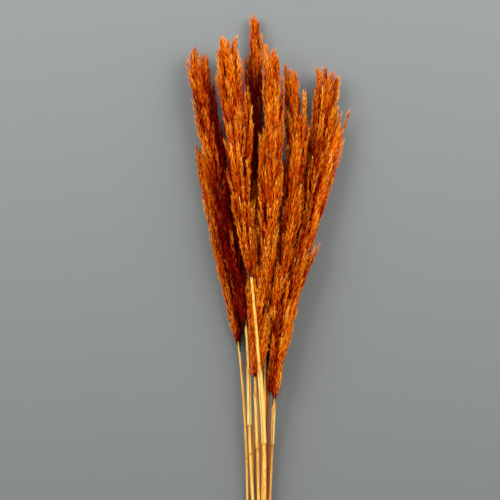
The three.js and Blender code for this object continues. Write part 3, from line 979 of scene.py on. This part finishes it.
def dye_share(nodes, along, bare_share, shade_and_dye):
    """Blotches of dye, stronger towards the plume and on stems deep in the bundle."""
    blotches = nodes.grey_ramp(nodes.noise(60, 4, (1, 0.25, 1)), [(0.5, 0), (0.68, 1)])
    stops = [(0.0, 0.15), (max(bare_share - 0.2, 0.05), 0.12), (bare_share, 0.5)]
    strength = nodes.math("ADD", nodes.grey_ramp(along, stops), shade_and_dye)
    return nodes.math("MULTIPLY", blotches, strength)


# ---- leaf sheaths

SHEATH_ANGLES = 30
SHEATH_STEP = 3 * MM
SHEATH_MARGIN = 1 * MM  # between a sheath's ends and the first and last section read from it
SHEATH_WALL = 0.28 * MM
SHEATH_SLIT = math.radians(26)
SHEATH_SLANT = 9 * MM  # the torn edge's reach along the stem
SHEATH_OPENING = (0.9, 2.2)  # where the slit may be, in radians from the right over the top
TOP_TEARS, BOTTOM_TEARS = 0.7, 0.35  # millimetres
SHEATH_VEINS = 17
VEIN_HEIGHT = 0.036 * MM
SHEATH_FLARE = 0.35 * MM  # of its torn edge
MAP_HALF = 0.47  # the map's U that the outside takes, and the inside from the other end
MAP_EDGE = 0.01  # the width that three of its edges have along the map's borders


def make_sheath(stem, seed, material):
    """A papery husk round the stem, split down one side and torn at a slant above."""
    rng = np.random.default_rng(seed)
    node = f"sheath_{stem.name}"
    low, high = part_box(node)
    foot, head = low[1] - stem.start, high[1] - stem.start
    levels = np.linspace(low[1] + SHEATH_MARGIN, high[1] - SHEATH_MARGIN, int((head - foot) / SHEATH_STEP))
    rows = np.linspace(0, 1, len(levels))
    open_side = rng.uniform(*SHEATH_OPENING)
    angles = open_side + np.linspace(SHEATH_SLIT / 2, FULL_TURN - SHEATH_SLIT / 2, SHEATH_ANGLES)
    away_from_slit = 0.5 - 0.5 * np.cos(angles - open_side)
    top_tears = np.abs(rng.normal(0, TOP_TEARS, SHEATH_ANGLES)) * MM
    bottom_tears = np.abs(rng.normal(0, BOTTOM_TEARS, SHEATH_ANGLES)) * MM
    top = head - SHEATH_SLANT * (1 - away_from_slit) - top_tears
    bottom = foot + bottom_tears
    along = bottom + rows[:, None] * (top - bottom)
    _, radii = sections(node, levels)
    radius = np.interp(along, levels - stem.start, smoothed(radii, 8))
    radius = radius + VEIN_HEIGHT * np.sin(SHEATH_VEINS * angles)[None, :]
    radius = radius + SHEATH_FLARE * (rows[:, None] ** 6) * away_from_slit
    middle = stem.line.at(along)
    side, up = side_and_top(stem.line.direction(along))
    across = side * np.cos(angles)[None, :, None] + up * np.sin(angles)[None, :, None]
    outer = middle + across * (radius + SHEATH_WALL / 2)[..., None]
    inner = middle + across * (radius - SHEATH_WALL / 2)[..., None]
    vertices, triangles, corner_map = thick_sheet(outer, inner, rows)
    make_piece(f"sheath_{stem.name}_husk", vertices, triangles, corner_map, material, node)


def thick_sheet(outer, inner, rows):
    """A closed sheet between two grids of points. On the map its outside and inside lie side by side."""
    count, width, _ = outer.shape
    vertices = np.concatenate([outer.reshape(-1, 3), inner.reshape(-1, 3)])
    columns = [MAP_HALF * k / (width - 1) for k in range(width)]
    triangles, marks = [], []

    def quad(cells, places=None):
        """Two triangles over four cells, each a row, a column and a layer: 0 is outside, 1 inside."""
        a, b, c, d = (layer * count * width + i * width + k for i, k, layer in cells)
        if places is None:
            places = [(1 - columns[k] if layer else columns[k], rows[i]) for i, k, layer in cells]
        triangles.extend([(a, c, b), (a, d, c)])
        marks.extend([(places[0], places[2], places[1]), (places[0], places[3], places[2])])

    for i in range(count - 1):
        for k in range(width - 1):
            quad([(i, k, 0), (i, k + 1, 0), (i + 1, k + 1, 0), (i + 1, k, 0)])
            quad([(i, k, 1), (i + 1, k, 1), (i + 1, k + 1, 1), (i, k + 1, 1)])
        last = width - 1
        quad([(i, last, 0), (i, last, 1), (i + 1, last, 1), (i + 1, last, 0)])
        low, high = rows[i], rows[i + 1]
        places = [(0, low), (MAP_EDGE, low), (MAP_EDGE, high), (0, high)]
        quad([(i, 0, 1), (i, 0, 0), (i + 1, 0, 0), (i + 1, 0, 1)], places)
    top = count - 1
    for k in range(width - 1):
        left, right = columns[k], columns[k + 1]
        places = [(left, 0), (right, 0), (right, MAP_EDGE), (left, MAP_EDGE)]
        quad([(0, k, 1), (0, k + 1, 1), (0, k + 1, 0), (0, k, 0)], places)
        places = [(left, 1 - MAP_EDGE), (right, 1 - MAP_EDGE), (right, 1), (left, 1)]
        quad([(top, k, 0), (top, k + 1, 0), (top, k + 1, 1), (top, k, 1)], places)
    return vertices, np.array(triangles), np.array(marks).reshape(-1, 2)


def husk_material():
    """Dry leaf sheath: pale straw with fine veins and a stained, torn upper edge."""
    nodes = Nodes("papery_husk", roughness=0.62, specular=0.35)
    _, along = nodes.map_axes()
    veins = nodes.noise(1100, 3, (1, 0.012, 1), 0.6)
    straw = nodes.ramp(veins, [
        (0.3, (0.7, 0.3, 0.03)), (0.48, (0.95, 0.6, 0.13)), (0.68, (1.0, 0.8, 0.33)),
    ])
    stains = nodes.grey_ramp(nodes.noise(70, 4, (1, 0.3, 1)), [(0.48, 0), (0.7, 1)])
    above = nodes.grey_ramp(along, [(0.0, 0.25), (0.7, 0.2), (1.0, 1)])
    stained = nodes.mix(nodes.math("MULTIPLY", stains, above), straw, (0.55, 0.13, 0.006))
    torn = nodes.grey_ramp(along, [(0.955, 0), (1.0, 0.85)])
    nodes.bump(veins, 0.5, 0.2 * MM)
    return nodes.colour(nodes.mix(torn, stained, (0.4, 0.1, 0.008)))


# ---- rubber band

TURNS = 3
TURN_STEPS = 96
CROSSING = (0.1, 0.24)  # the shares of a turn between which the strand moves over to the next place
RETURN = (TURNS - 0.16, TURNS - 0.01)  # the turns between which it comes back to the first place
RETURN_LIFT = 1.05  # thicknesses that it rises by there, over the other strands
STRAND_SIDES = 12
STRAND_THICKNESS = 1.15 * MM
STRAND_INSET = 0.1 * MM
STRAND_FILL = 0.92  # a strand's width as a share of the room that it has


def strand_line(node):
    """The strand's closed centre line, its angle round the band there, and the room for its width."""
    low, high = (Vector(corner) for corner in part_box(node))
    middle = (low + high) / 2
    angles = np.linspace(0, FULL_TURN, TURN_STEPS, endpoint=False)
    outline = reach_across(surface_of(node), middle, angles, (high - low).length)
    outline = smoothed(outline, 1) - STRAND_THICKNESS / 2 - STRAND_INSET
    turns = np.linspace(0, TURNS, TURNS * TURN_STEPS, endpoint=False)
    angle = turns * FULL_TURN + math.pi / 2
    reach = np.interp(angle % FULL_TURN, np.append(angles, FULL_TURN), np.append(outline, outline[0]))
    whole = np.floor(turns)
    back = smooth_step(turns, *RETURN)
    shift = whole + smooth_step(turns - whole, *CROSSING) * (whole < TURNS - 1)
    rank = np.minimum(shift, TURNS - 1) * (1 - back)
    room = (high.y - low.y) / TURNS
    y = middle.y + (rank - (TURNS - 1) / 2) * room
    reach = reach + np.sin(math.pi * back) * STRAND_THICKNESS * RETURN_LIFT
    return np.stack([middle.x + reach * np.cos(angle), y, middle.z + reach * np.sin(angle)], 1), angle, room


def squarish(values):
    """A sine or cosine pushed outwards, which turns a round section into one with flat sides."""
    return np.sign(values) * np.abs(values) ** 0.5


def strand_rings(points, angle, width):
    """The strand's flat section at every point of its line, with its broad side against the stems."""
    ahead = unit(np.roll(points, -1, 0) - np.roll(points, 1, 0))
    outward = np.stack([np.cos(angle), np.zeros(len(points)), np.sin(angle)], 1)
    outward = unit(outward - ahead * (outward * ahead).sum(1, keepdims=True))
    wide = np.cross(ahead, outward)
    corner = np.linspace(0, FULL_TURN, STRAND_SIDES, endpoint=False)
    rings = points[:, None] + wide[:, None] * (squarish(np.cos(corner)) * width / 2)[None, :, None]
    rings = rings + outward[:, None] * (squarish(np.sin(corner)) * STRAND_THICKNESS / 2)[None, :, None]
    rings[..., 2] = np.maximum(rings[..., 2], 0)
    return rings


def make_band(material):
    """One rubber band wound three times. Near the top its last turn comes back over the others."""
    node = "rubber_band"
    points, angle, room = strand_line(node)
    rings = strand_rings(points, angle, room * STRAND_FILL)
    rows = np.linspace(0, 1, len(points) + 1)
    vertices, triangles, corner_map = sweep(rings, rows, closed=True)
    make_piece("rubber_band_wound", vertices, triangles, corner_map, material, node)


def rubber_material():
    """Natural rubber, dusty and slightly mottled, with fine stretch lines."""
    nodes = Nodes("natural_rubber", roughness=0.55)
    mottle = nodes.ramp(nodes.noise(160, 4), [
        (0.3, (0.42, 0.22, 0.08)), (0.5, (0.55, 0.32, 0.13)), (0.75, (0.66, 0.43, 0.22)),
    ])
    lines = nodes.noise(700, 2, (0.06, 1, 0.06))
    dusty = nodes.mix(nodes.grey_ramp(lines, [(0.55, 0), (0.75, 0.5)]), mottle, (0.72, 0.55, 0.36))
    nodes.bump(lines, 0.25, 0.1 * MM)
    return nodes.colour(dusty)


# ---- the bundle

PLUME_SEED, STEM_SEED, SHEATH_SEED = 100, 300, 400

make_camera()
make_studio()
floss = plume_material()
husk = husk_material()
stems = [Stem(node[len("stem_"):]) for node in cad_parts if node.startswith("stem_")]
for index, stem in enumerate(stems):
    make_stem(stem, STEM_SEED + index)
    if f"sheath_{stem.name}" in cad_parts:
        make_sheath(stem, SHEATH_SEED + index, husk)
    other_stems = [other for other in stems if other is not stem]
    make_plume(stem.name, other_stems, PLUME_SEED + index, floss)
make_band(rubber_material())
